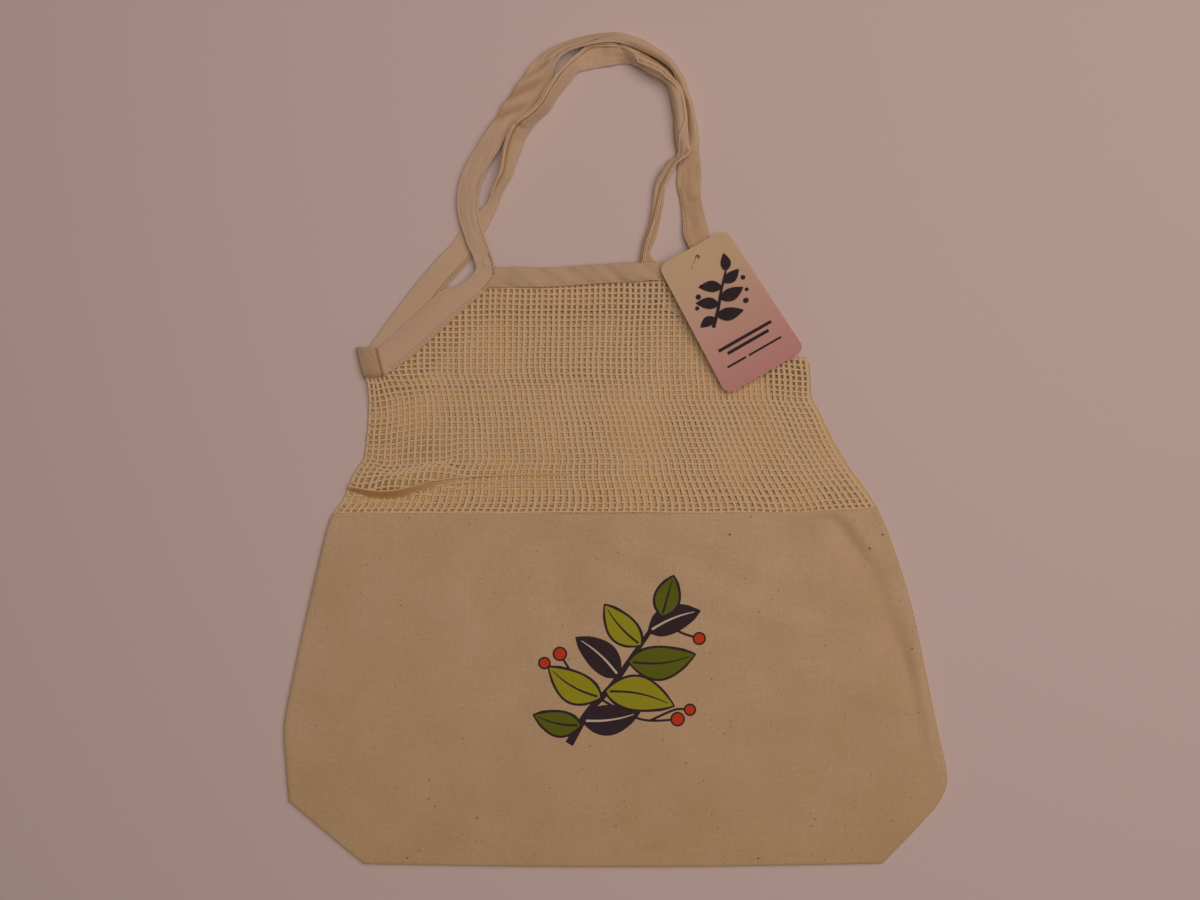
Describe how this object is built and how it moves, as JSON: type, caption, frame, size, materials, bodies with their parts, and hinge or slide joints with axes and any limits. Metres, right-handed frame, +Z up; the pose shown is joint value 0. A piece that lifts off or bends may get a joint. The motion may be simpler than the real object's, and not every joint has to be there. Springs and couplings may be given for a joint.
{
  "type": "mesh market bag",
  "caption": "Empty cotton market bag lying flat: canvas pouch below, open netting above, two tape shoulder handles and a hang tag.",
  "frame": {"origin": "centre of the base of the bounding box of the bag as it lies", "axes": "+Y from the closed bottom of the pouch to the handles, +X to the right seen from above, +Z up from the table through the front of the bag"},
  "size_m": [0.43, 0.5412, 0.0152],
  "materials": {
    "canvas": "matte",
    "net": "matte",
    "tape": "matte",
    "card": "satin",
    "clear_plastic": "gloss"
  },
  "bodies": {
    "root": {"canvas_pouch": "canvas", "net_back": "net", "net_front": "net", "hem_back": "tape", "hem_front": "tape", "strap_back": "tape", "strap_front": "tape", "side_wrap_left": "tape", "side_wrap_right": "tape", "hang_tag": "card", "tag_pin": "clear_plastic"}
  },
  "joints": []
}
